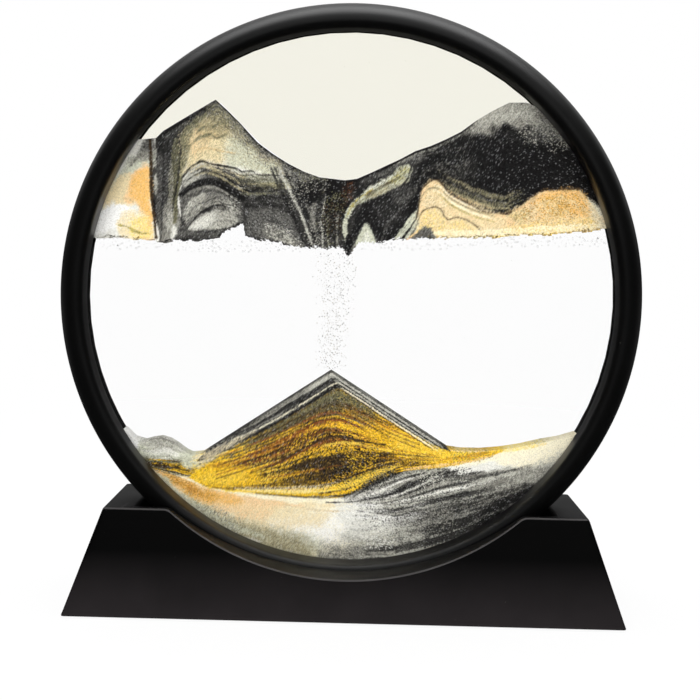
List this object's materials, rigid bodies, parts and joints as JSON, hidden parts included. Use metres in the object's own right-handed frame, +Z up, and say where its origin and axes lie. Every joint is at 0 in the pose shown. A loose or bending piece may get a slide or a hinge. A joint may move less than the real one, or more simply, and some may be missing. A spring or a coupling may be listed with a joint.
{
  "type": "moving sand art frame",
  "caption": "Round glass cell with clear liquid and banks of coloured sand, clamped in a black moulded ring that turns in the curved slot of a tapered black base.",
  "frame": {"origin": "on the table, under the middle of the base", "axes": "+Z up, -Y towards the viewer, so the axis that the round frame turns on runs along Y"},
  "size_m": [0.18, 0.053, 0.1842],
  "materials": {
    "black_plastic": "satin black moulding",
    "pad_rubber": "matt",
    "seal_rubber": "matt",
    "clear_glass": "polished, clear",
    "clear_liquid": "clear liquid",
    "black_sand": "fine grains, dark with pale specks",
    "gold_sand": "fine grains, gold",
    "peach_sand": "fine grains, peach to orange",
    "white_sand": "fine grains, warm white",
    "grey_sand": "fine grains, mixed grey"
  },
  "bodies": {
    "base": {"base_shell": "black_plastic", "foot_front_left": "pad_rubber", "foot_front_right": "pad_rubber", "foot_rear_left": "pad_rubber", "foot_rear_right": "pad_rubber"},
    "frame": {"front_ring": "black_plastic", "rear_ring": "black_plastic", "front_glass": "clear_glass", "rear_glass": "clear_glass", "cell_spacer": "black_plastic", "front_seal": "seal_rubber", "rear_seal": "seal_rubber", "port_plug": "seal_rubber", "liquid_above": "clear_liquid", "liquid_below": "clear_liquid", "upper_black_sand": "black_sand", "upper_left_gold": "peach_sand", "upper_right_gold": "peach_sand", "lower_black_cap": "black_sand", "lower_gold_sand": "gold_sand", "lower_left_dune": "grey_sand", "lower_white_basin": "white_sand", "lower_grey_drift": "grey_sand"}
  },
  "joints": [
    {"name": "frame_turn", "type": "hinge", "parent": "base", "child": "frame", "pos_m": [0, 0, 0.0943], "axis": [0, 1, 0], "continuous": true}
  ]
}
